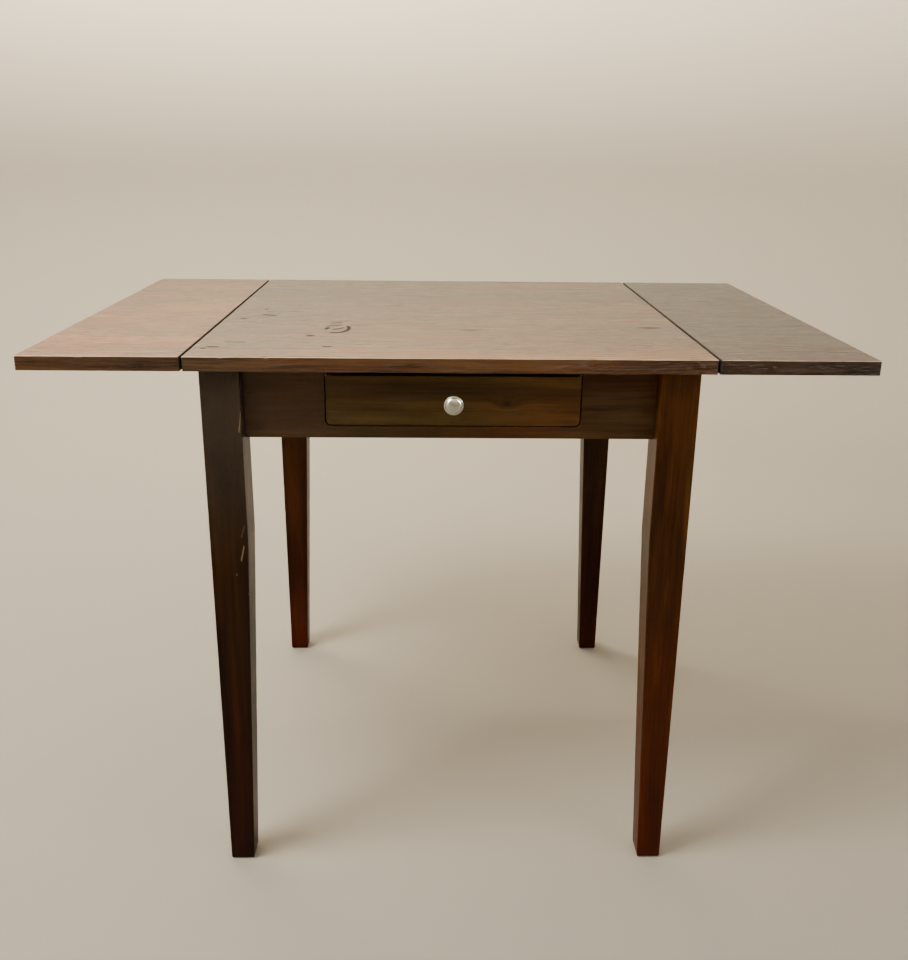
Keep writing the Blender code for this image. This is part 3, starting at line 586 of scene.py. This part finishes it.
# How far a chip reaches back from the edge.
CHIP_REACH = 0.0017
# The stretches of the top and the left leaf that are cut finely for their marks.
TOP_MARKED = ((-0.328, -0.135, 0.0015), (-0.292, 0.020, 0.0014), None)
LEAF_MARKED = ((-0.480, -0.380, 0.0014), None, None)
PLANK_WIDTH = 0.105


def ring_lines():
    """The ring's arc as short straight marks."""
    spots = []
    for i in range(RING_STEPS + 1):
        angle = math.radians(RING_FROM + (RING_TO - RING_FROM) * i / RING_STEPS)
        across, back = RING_RADII[0] * math.cos(angle), RING_RADII[1] * math.sin(angle)
        spots.append((RING_AT[0] + across, RING_AT[1] + back))
    return [(a, b, *RING_MARK) for a, b in zip(spots, spots[1:])]


def edge_chips(points, chips):
    """Bites out of the front upper edge, which show bare wood."""
    depth, bare = np.zeros(len(points)), np.zeros(len(points))
    from_edge = np.hypot(points[:, 1] - FRONT_Y, points[:, 2] - TOP_Z)
    at_edge = np.exp(-((from_edge / CHIP_REACH) ** 2))
    for middle, half_length, deep in chips:
        near = np.exp(-(((points[:, 0] - middle) / half_length) ** 2)) * at_edge
        depth = np.maximum(depth, deep * near)
        bare = np.maximum(bare, 0.8 * np.clip(1.7 * near - 0.5, 0.0, 1.0))
    return depth, bare


def top_marks(points, out):
    depth, marks_and_seam_shade = press(points[:, :2], TOP_DENTS + ring_lines())
    upward = out[:, 2] > 0.9
    bite, bare = edge_chips(points, TOP_CHIPS)
    return np.maximum(depth * upward, bite), marks_and_seam_shade * upward, bare


def leaf_marks(points, out):
    bite, bare = edge_chips(points, LEAF_CHIPS)
    return bite, np.zeros(len(points)), bare


# Scratches down the front left leg in X and Z: start, end, half width, depth and how bare.
LEG_SCRATCHES = [
    ((-0.2703, 0.6613), (-0.2662, 0.6898), 0.0005, 0.0002, 0.50),
    ((-0.2655, 0.6905), (-0.2650, 0.7080), 0.0005, 0.0001, 0.18),
    ((-0.2760, 0.4827), (-0.2722, 0.5016), 0.0006, 0.0002, 0.52),
    ((-0.2753, 0.5146), (-0.2702, 0.5321), 0.0004, 0.0001, 0.24),
    ((-0.2829, 0.4608), (-0.2826, 0.4616), 0.0006, 0.0002, 0.35),
    ((-0.2668, 0.4312), (-0.2664, 0.4324), 0.0007, 0.0002, 0.35),
    ((-0.3073, 0.6560), (-0.2939, 0.6555), 0.0004, 0.0001, 0.07),
]
# The stretches of that leg that are cut finely for them.
LEG_MARKED = ((-0.284, -0.2645, 0.0005), None, (0.425, 0.715, 0.0024))


def leg_marks(points, out):
    forward = out[:, 1] < -0.3
    depth, bare = press(points[:, (0, 2)], LEG_SCRATCHES)
    return depth * forward, np.zeros(len(points)), bare * forward


def make_top():
    """The fixed panel and the two leaves, with shade painted near black where they face each other across
    the gaps between them.
    """
    shared = {"ior": TOP_IOR, "planks": PLANK_WIDTH, "grip": 1.25, "rub_and_glint": TOP_WEAR_AND_GLINT, "patches": 0.45}
    look = wood("top_wood_look", "X", 1, TOP, 0.32, grey_sheen=0.25, front_light_tint=PAINTED_FRONT_LIGHT_TINTS["top_panel"], **shared)
    painted_seam_shade = ((-1, 0.7), (1, 0.7))
    board("top_panel", look, TOP_ARRIS, 1, dense=TOP_MARKED, marks=top_marks, painted_seam_shade=painted_seam_shade)
    for number, (node, marks) in enumerate((("left_leaf", leaf_marks), ("right_leaf", None))):
        palette = LIT_LEFT_LEAF if node == "left_leaf" else SHADED_RIGHT_LEAF
        look = wood(f"{node}_look", "X", 4 + 3 * number, palette, 0.32, front_light_tint=PAINTED_FRONT_LIGHT_TINTS[node], **shared)
        dense = LEAF_MARKED if marks else UNMARKED
        painted_seam_shade = ((1 - 2 * number, -1.0),)
        board(node, look, TOP_ARRIS, 2 + number, 0.012, dense=dense, marks=marks, painted_seam_shade=painted_seam_shade)


def tapered(node):
    """Narrows a straight leg below its taper line, keeping its outer corner, and rounds its foot."""
    low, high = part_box(node)
    corner = np.array([low.x if low.x < 0 else high.x, low.y if low.y < 0 else high.y])
    inward = -np.sign(corner)

    def shape(points):
        narrow = np.interp(points[:, 2], [0.0, TAPER_TOP], [FOOT_WIDTH / (high.x - low.x), 1.0])
        points[:, :2] = corner + (points[:, :2] - corner) * narrow[:, None]
        middle = corner + inward * FOOT_WIDTH / 2
        near_floor = np.clip(1.0 - points[:, 2] / FOOT_EASING, 0.0, 1.0)
        pull = 1.0 - (1.0 - np.sqrt(1.0 - near_floor**2)) * 2 * FOOT_EASING / FOOT_WIDTH
        points[:, :2] = middle + (points[:, :2] - middle) * pull[:, None]
        return points

    return shape


def leg_foot_width(node):
    """The width of a leg's foot, read from its lowest vertices."""
    corners = [v.co for v in frame["nodes"][node].data.vertices if v.co.z < FOOT_SLICE]
    return max(c.x for c in corners) - min(c.x for c in corners)


# A leg's vertices below this height are those of its foot.
FOOT_SLICE = 0.004
FOOT_WIDTH = leg_foot_width("leg_front_left")
FOOT_EASING = 0.0040
TAPER_TOP = 0.511


def make_legs():
    for number, corner in enumerate(("back_left", "back_right", "front_left", "front_right")):
        node = f"leg_{corner}"
        palette = [[c * PAINTED_LEG_LIGHT[corner] for c in colour] for colour in LEG]
        tints = (RED_FOOT, PAINTED_SHEEN_HEAD) if corner == "front_right" else (RED_FOOT,)
        look = wood(f"{node}_look", "Z", 11 + 2 * number, palette, 0.38, ior=DARK_IOR, tints=tints, grey_sheen=0.9)
        dense, marks = (LEG_MARKED, leg_marks) if corner == "front_left" else (UNMARKED, None)
        board(node, look, LEG_ARRIS, 20 + number, step=0.012, chips=0.5, dense=dense,
              shape=tapered(node), marks=marks)


def make_aprons():
    for number, node in enumerate(("back_apron", "left_apron", "right_apron")):
        grain = "X" if node == "back_apron" else "Y"
        look = wood(f"{node}_look", grain, 31 + number, BASE, 0.42, ior=DARK_IOR)
        board(node, look, APRON_ARRIS, 30 + number, step=0.03)


def outline_piece(name, node, points, thickness, middle_y, easing, material):
    """A board with a shaped outline, drawn facing the front, with eased edges."""
    curve = bpy.data.curves.new(name, "CURVE")
    curve.dimensions = "2D"
    curve.fill_mode = "BOTH"
    curve.extrude = thickness / 2
    spline = curve.splines.new("POLY")
    spline.points.add(len(points) - 1)
    for point, (across, up) in zip(spline.points, points):
        point.co = (across, up, 0.0, 1.0)
    spline.use_cyclic_u = True
    drawn = bpy.data.objects.new(name + "_curve", curve)
    bpy.context.scene.collection.objects.link(drawn)
    bpy.context.view_layer.update()
    filled = bpy.data.meshes.new_from_object(drawn.evaluated_get(bpy.context.evaluated_depsgraph_get()))
    bpy.data.objects.remove(drawn)
    shape = bmesh.new()
    shape.from_mesh(filled)
    bmesh.ops.remove_doubles(shape, verts=shape.verts, dist=0.00001)
    bmesh.ops.dissolve_limit(shape, angle_limit=math.radians(0.5), verts=shape.verts, edges=shape.edges)
    bmesh.ops.recalc_face_normals(shape, faces=shape.faces)
    upright = Matrix.Translation((0.0, middle_y, 0.0)) @ Matrix.Rotation(math.pi / 2, 4, "X")
    bmesh.ops.transform(shape, matrix=upright, verts=shape.verts)
    mesh = bpy.data.meshes.new(name)
    shape.to_mesh(mesh)
    shape.free()
    mesh.materials.append(material)
    piece = bpy.data.objects.new(name, mesh)
    bpy.context.scene.collection.objects.link(piece)
    ease(piece, easing, 3)
    stand_for(piece, node)


def ease(piece, width, segments=2):
    bevel = piece.modifiers.new("eased edges", "BEVEL")
    bevel.width = width
    bevel.segments = segments
    bevel.limit_method = "ANGLE"
    bevel.angle_limit = math.radians(35)


def arc(centre, radius, start, end, steps=12):
    angles = [math.radians(start + (end - start) * i / steps) for i in range(steps + 1)]
    return [(centre[0] + radius * math.cos(a), centre[1] + radius * math.sin(a)) for a in angles]


# The notch for the drawer: the radius of its lower corners, and the gap round the drawer front.
CORNER_RADIUS = 0.0085
DRAWER_GAP = 0.0016
# The knot in the drawer front, along and up.
KNOT_AT = (0.0733, 0.6954)


def make_front():
    """The front apron with its notch, and the drawer front that fills it."""
    low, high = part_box("front_apron")
    front_low, front_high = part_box("drawer_front")
    left, right = front_low.x - DRAWER_GAP, front_high.x + DRAWER_GAP
    bottom = front_low.z - DRAWER_GAP
    points = [
        (low.x, low.z),
        (high.x, low.z),
        (high.x, high.z),
        (right, high.z),
        *arc((right - CORNER_RADIUS, bottom + CORNER_RADIUS), CORNER_RADIUS, 0, -90),
        *arc((left + CORNER_RADIUS, bottom + CORNER_RADIUS), CORNER_RADIUS, -90, -180),
        (left, high.z),
        (low.x, high.z),
    ]
    look = wood("front_apron_look", "X", 41, BASE, 0.40, ior=DARK_IOR, grey_sheen=0.75)
    thickness, middle_y = high.y - low.y, (low.y + high.y) / 2
    outline_piece("front_apron_fine", "front_apron", points, thickness, middle_y, 0.0008, look)

    radius = CORNER_RADIUS - DRAWER_GAP

    def rounded_corners(points):
        for side, edge in ((-1, front_low.x), (1, front_high.x)):
            centre_x, centre_z = edge - side * radius, front_low.z + radius
            across, down = side * (points[:, 0] - centre_x), centre_z - points[:, 2]
            inside = (across > 0) & (down > 0)
            reach = np.maximum(np.hypot(across, down), 1e-9)
            pull = np.where(inside, np.maximum(across, down) / reach, 1.0)
            points[:, 0] = np.where(inside, centre_x + side * across * pull, points[:, 0])
            points[:, 2] = np.where(inside, centre_z - down * pull, points[:, 2])
        return points

    knot = (KNOT_AT[0], front_low.y, KNOT_AT[1])
    look = wood("drawer_front_look", "X", 47, DRAWER, 0.38, ior=DARK_IOR, knot=knot, grey_sheen=0.5)
    reach, fine = 1.2 * radius, 0.0007
    across = (front_low.x, front_low.x + reach, fine)
    upward = (front_low.z + 0.002, front_low.z + reach, fine)
    board("drawer_front", look, DRAWER_ARRIS, 44, step=0.006, shape=rounded_corners,
          dense=(across, None, upward))


# ---------------------------------------------------------------- knob, screws and the other CAD nodes


def turned_piece(name, profile, centre, steps, material):
    """A profile of (radius, height) points turned about an axis that faces the front."""
    points, faces = [], []
    rows = len(profile)
    for i in range(steps):
        angle = 2 * math.pi * i / steps
        for radius, height in profile:
            points.append((radius * math.cos(angle), -height, radius * math.sin(angle)))
    for i in range(steps):
        j = (i + 1) % steps
        for k in range(rows - 1):
            faces.append((i * rows + k, j * rows + k, j * rows + k + 1, i * rows + k + 1))
    points = [Vector(p) + Vector(centre) for p in points]
    piece = mesh_piece(name, points, faces, material)
    shape = bmesh.new()
    shape.from_mesh(piece.data)
    bmesh.ops.remove_doubles(shape, verts=shape.verts, dist=0.000001)
    bmesh.ops.recalc_face_normals(shape, faces=shape.faces)
    shape.to_mesh(piece.data)
    shape.free()
    return piece


# The knob's dome and the roll of its rim, as radii, and the angles that each covers.
KNOB_DOME = 0.0052
CROWN_ANGLES = np.linspace(0.0, 1.36, 18)
KNOB_ROLL = 0.0014
RIM_ANGLES = np.linspace(0.9, -1.5, 10)
# Its neck, as radii and distances below the head, and its foot, as radii and heights over the drawer front.
KNOB_NECK = ((0.0086, 0.0032), (0.0070, 0.0060), (0.0056, 0.0086), (0.0050, 0.0108), (0.0053, 0.0128),
             (0.0062, 0.0146))
KNOB_FOOT = [(0.0075, 0.0012), (0.0078, 0.0007), (0.0078, 0.0), (0.0, 0.0)]
KNOB_STEPS = 96


def make_knob():
    """A mushroom knob: a shallow dome with a rolled rim on a waisted neck."""
    low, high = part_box("knob")
    centre = ((low.x + high.x) / 2, high.y, (low.z + high.z) / 2)
    radius, length = (high.x - low.x) / 2, high.y - low.y
    inner = radius - KNOB_ROLL
    crown = [(inner * math.sin(a), length - KNOB_DOME + KNOB_DOME * math.cos(a)) for a in CROWN_ANGLES]
    edge_at = crown[-1][1] - KNOB_ROLL * 0.55
    rim = [(inner + KNOB_ROLL * math.cos(a), edge_at + KNOB_ROLL * math.sin(a)) for a in RIM_ANGLES]
    under = rim[-1][1]
    neck = [(radius * 0.84, under - 0.0010)] + [(wide, under - down) for wide, down in KNOB_NECK]
    profile = crown + rim + neck + KNOB_FOOT
    piece = turned_piece("knob_fine", profile, centre, KNOB_STEPS, satin_nickel(centre))
    stand_for(piece, "knob")


def screw_heads(name, spots, radius, height, facing, body, material):
    """Several countersunk heads with crossed slots, as one piece. facing is the way they look."""
    shape = bmesh.new()
    turn = Vector((0.0, 0.0, 1.0)).rotation_difference(Vector(facing)).to_matrix().to_4x4()
    steps = 24
    lip_share, lip_at = 0.94, height * 0.25
    slot_half, slot_reach, slot_deep = radius * 0.13, radius * 0.62, height * 0.9
    angles = [2 * math.pi * i / steps for i in range(steps)]
    outline = [(radius * math.cos(angle), radius * math.sin(angle)) for angle in angles]
    for number, spot in enumerate(spots):
        put = Matrix.Translation(spot) @ turn @ Matrix.Rotation(0.7 * number, 4, "Z")
        cross = []
        for quarter in range(4):
            c, s = round(math.cos(quarter * math.pi / 2)), round(math.sin(quarter * math.pi / 2))
            for x, y in ((slot_half, -slot_half), (slot_reach, -slot_half), (slot_reach, slot_half)):
                cross.append((x * c - y * s, x * s + y * c))
        rim_low = [shape.verts.new(put @ Vector((x, y, -height))) for x, y in outline]
        rim_high = [shape.verts.new(put @ Vector((x, y, 0.0))) for x, y in outline]
        lip = [shape.verts.new(put @ Vector((x * lip_share, y * lip_share, lip_at))) for x, y in outline]
        slot_top = [shape.verts.new(put @ Vector((x, y, lip_at))) for x, y in cross]
        slot_low = [shape.verts.new(put @ Vector((x, y, lip_at - slot_deep))) for x, y in cross]
        for i in range(steps):
            j = (i + 1) % steps
            shape.faces.new((rim_low[i], rim_low[j], rim_high[j], rim_high[i]))
            shape.faces.new((rim_high[i], rim_high[j], lip[j], lip[i]))
        shape.faces.new(rim_low[::-1])
        shape.faces.new(slot_low)
        count = len(cross)
        for i in range(count):
            j = (i + 1) % count
            shape.faces.new((slot_top[j], slot_top[i], slot_low[i], slot_low[j]))
        loops = [shape.edges.get((lip[i], lip[(i + 1) % steps])) for i in range(steps)]
        loops += [shape.edges.get((slot_top[i], slot_top[(i + 1) % count])) for i in range(count)]
        bmesh.ops.triangle_fill(shape, edges=loops, use_beauty=True)
    bmesh.ops.recalc_face_normals(shape, faces=shape.faces)
    mesh = bpy.data.meshes.new(name)
    shape.to_mesh(mesh)
    shape.free()
    mesh.materials.append(material)
    piece = bpy.data.objects.new(name, mesh)
    bpy.context.scene.collection.objects.link(piece)
    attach(piece, body)


# The screws of a hinge plate: how far along it as a share, and how far in from its outer edge.
PLATE_SCREWS = ((0.16, 0.009), (0.5, 0.016), (0.84, 0.009))
PLATE_THICKNESS = 0.0017
# The screws of a support block: how far back from its front, and how far above its middle.
BLOCK_SCREWS = ((0.022, 0.016), (0.060, -0.016))
PLATE_HEAD, BLOCK_HEAD, HEAD_HEIGHT = 0.0034, 0.0042, 0.0006
# How far a head stands off the plate.
HEAD_PROUD = 0.0001


def make_screws(material):
    """The hinges' screws, three to a plate, and two through each support block."""
    for side in ("left", "right"):
        for place in ("front", "back"):
            for part, body in (("top", "base"), ("leaf", f"{side}_leaf")):
                low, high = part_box(f"{side}_hinge_{place}_{part}_plate")
                sign = 1 if side == "right" else -1
                outward = sign if part == "leaf" else -sign
                far = high.x if outward > 0 else low.x
                spots = []
                for share, inset in PLATE_SCREWS:
                    y = low.y + (high.y - low.y) * share
                    spots.append(Vector((far - outward * inset, y, high.z - PLATE_THICKNESS - HEAD_PROUD)))
                name = f"{side}_{place}_{part}_hinge_screws"
                screw_heads(name, spots, PLATE_HEAD, HEAD_HEIGHT, (0.0, 0.0, -1.0), body, material)
        low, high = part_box(f"{side}_support_block")
        face_x = high.x if side == "right" else low.x
        facing = (1.0, 0.0, 0.0) if side == "right" else (-1.0, 0.0, 0.0)
        middle = (low.z + high.z) / 2
        spots = [Vector((face_x, low.y + back, middle + up)) for back, up in BLOCK_SCREWS]
        screw_heads(f"{side}_support_block_screws", spots, BLOCK_HEAD, HEAD_HEIGHT, facing, "base", material)


def dress(node, material):
    target = frame["nodes"][node]
    target.data.materials.clear()
    target.data.materials.append(material)


def make_hidden_parts():
    """The CAD nodes that stay as they are get their materials, and the wooden ones eased edges."""
    steel = brushed("zinc_steel_look", (0.60, 0.60, 0.61), 0.34)
    brass = brushed("hinge_brass_look", (0.50, 0.34, 0.13), 0.38, (40.0, 900.0, 900.0), 0.40)
    plywood = wood("plywood_look", "X", 61, PLYWOOD, 0.62)
    plain = {axis: wood(f"plain_wood_{axis.lower()}_look", axis, 70 + number, PLAIN, 0.60)
             for number, axis in enumerate("XY")}
    arms = wood("support_wood_look", "Y", 81, BASE, 0.46, ior=DARK_IOR)
    shown = {o.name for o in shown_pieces()}
    for node, target in frame["nodes"].items():
        if target.name not in shown:
            continue
        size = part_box(node)[1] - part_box(node)[0]
        if "hinge" in node:
            dress(node, brass)
        elif node == "drawer_floor":
            dress(node, plywood)
        elif "support_arm" in node or "support_block" in node:
            dress(node, arms)
            ease(target, 0.0009)
        elif any(word in node for word in ("bolt", "nut", "screw", "pin")):
            dress(node, steel)
        else:
            dress(node, plain["Y" if size.y > size.x else "X"])
            ease(target, 0.0006)
    make_screws(steel)


# ---------------------------------------------------------------- floor, lights and camera

FLOOR_PAINT = (0.40, 0.375, 0.325)
WALL_PAINT = (0.82, 0.78, 0.70)
# The heights between which the floor's paint turns into the wall's.
PAINT_TURNS = (0.8, 1.8)
ROOM_RADIUS = 2.9
SWEEP_RADIUS = 0.9
WALL_TOP = 3.4
ROOM_STEPS = 96


def stage_paint():
    """Matt paint, darker on the floor and low on the wall than higher up."""
    tree = Tree("stage_paint")
    place = tree.place()
    height = tree.add("SeparateXYZ", {"Vector": place}).outputs["Z"]
    colour = tree.mix(tree.between(height, *PAINT_TURNS), rgba(FLOOR_PAINT), rgba(WALL_PAINT))
    mottle = tree.noise(place, (1.5, 1.5, 1.5), 3.0, 0.5)
    colour = tree.mix(tree.math("MULTIPLY", mottle, 0.08), colour, rgba(FLOOR_PAINT))
    tree.put(tree.surface.inputs["Base Color"], colour)
    tree.surface.inputs["Roughness"].default_value = 0.85
    return tree.material


def make_stage():
    """A round pale floor that sweeps up into a pale wall."""
    start = ROOM_RADIUS - SWEEP_RADIUS
    bend = [(start + SWEEP_RADIUS * math.sin(a), SWEEP_RADIUS - SWEEP_RADIUS * math.cos(a))
            for a in np.linspace(0.0, math.pi / 2, 24)]
    profile = [(start * i / 6, 0.0) for i in range(1, 6)] + bend + [(ROOM_RADIUS, WALL_TOP)]
    points, faces = [(0.0, 0.0, 0.0)], []
    rows = len(profile)
    for i in range(ROOM_STEPS):
        angle = 2 * math.pi * i / ROOM_STEPS
        points += [(r * math.cos(angle), r * math.sin(angle), z) for r, z in profile]
    for i in range(ROOM_STEPS):
        here, there = 1 + i * rows, 1 + (i + 1) % ROOM_STEPS * rows
        faces.append((0, here, there))
        faces += [(here + k, here + k + 1, there + k + 1, there + k) for k in range(rows - 1)]
    stage = mesh_piece("studio_stage", points, faces, stage_paint())


TABLE_MIDDLE = (0.0, 0.0, 0.6)
DRAWER_MIDDLE = (0.0, -0.3, 0.7)
# The lights: where each stands, where it aims, its size, its watts and its colour.
LIGHTS = {
    "key_light": ((-1.7, -0.9, 2.7), TABLE_MIDDLE, (1.1, 1.1), 106.0, (1.0, 0.94, 0.84)),
    "fill_light": ((1.6, -1.2, 3.0), TABLE_MIDDLE, (1.8, 1.8), 8.0, (1.0, 0.96, 0.90)),
    "wall_light": ((-1.2, 1.4, 3.3), (-1.0, 2.9, 2.5), (2.4, 0.7), 240.0, (1.0, 0.86, 0.65)),
}
# These only show as highlights, on the knob above all.
GLINTS = {
    "left_glint": ((-1.3, -1.7, 1.9), DRAWER_MIDDLE, (0.25, 0.9), 60.0, (1.0, 0.98, 0.92)),
    "right_glint": ((1.5, -1.2, 1.4), DRAWER_MIDDLE, (0.20, 0.5), 50.0, (1.0, 0.98, 0.92)),
}
SKY_COLOUR = (1.0, 0.97, 0.92)
SKY_STRENGTH = 0.25


def area_light(name, location, aim, size, power, colour):
    data = bpy.data.lights.new(name, "AREA")
    data.shape = "RECTANGLE"
    data.size, data.size_y = size
    data.energy = power
    data.color = colour
    lamp = bpy.data.objects.new(name, data)
    lamp.location = location
    lamp.visible_camera = False
    lamp.rotation_euler = (Vector(aim) - Vector(location)).to_track_quat("-Z", "Y").to_euler()
    bpy.context.scene.collection.objects.link(lamp)
    return lamp


def make_lights():
    world = bpy.context.scene.world or bpy.data.worlds.new("studio")
    bpy.context.scene.world = world
    world.use_nodes = True
    sky = world.node_tree.nodes["Background"]
    sky.inputs["Color"].default_value = rgba(SKY_COLOUR)
    sky.inputs["Strength"].default_value = SKY_STRENGTH
    for name, light in LIGHTS.items():
        area_light(name, *light)
    for name, light in GLINTS.items():
        area_light(name, *light).visible_diffuse = False


# The camera that frames the table as it was seen: where it stands, its turn, dip and tilt in radians, its
# lens in millimetres, and how far its picture is shifted.
CAMERA_AT = (-0.0186, -1.4775, 1.0243)
CAMERA_TURN = 0.0197
CAMERA_DIP = 0.2967
CAMERA_TILT = 0.0111
CAMERA_LENS = 35.55
CAMERA_RISE = -0.0554


def make_camera():
    ahead = Vector((math.sin(CAMERA_TURN), math.cos(CAMERA_TURN), 0.0))
    level = Vector((math.cos(CAMERA_TURN), -math.sin(CAMERA_TURN), 0.0))
    up = Vector((0.0, 0.0, 1.0))
    forward = ahead * math.cos(CAMERA_DIP) - up * math.sin(CAMERA_DIP)
    upward = ahead * math.sin(CAMERA_DIP) + up * math.cos(CAMERA_DIP)
    right = level * math.cos(CAMERA_TILT) + upward * math.sin(CAMERA_TILT)
    top = upward * math.cos(CAMERA_TILT) - level * math.sin(CAMERA_TILT)
    data = bpy.data.cameras.new("camera")
    data.lens = CAMERA_LENS
    data.shift_y = CAMERA_RISE
    camera = bpy.data.objects.new("camera", data)
    axes = Matrix((right, top, -forward)).transposed().to_4x4()
    camera.matrix_world = Matrix.Translation(CAMERA_AT) @ axes
    bpy.context.scene.collection.objects.link(camera)
    bpy.context.scene.camera = camera


make_top()
make_legs()
make_aprons()
make_front()
make_knob()
make_hidden_parts()
make_stage()
make_lights()
make_camera()
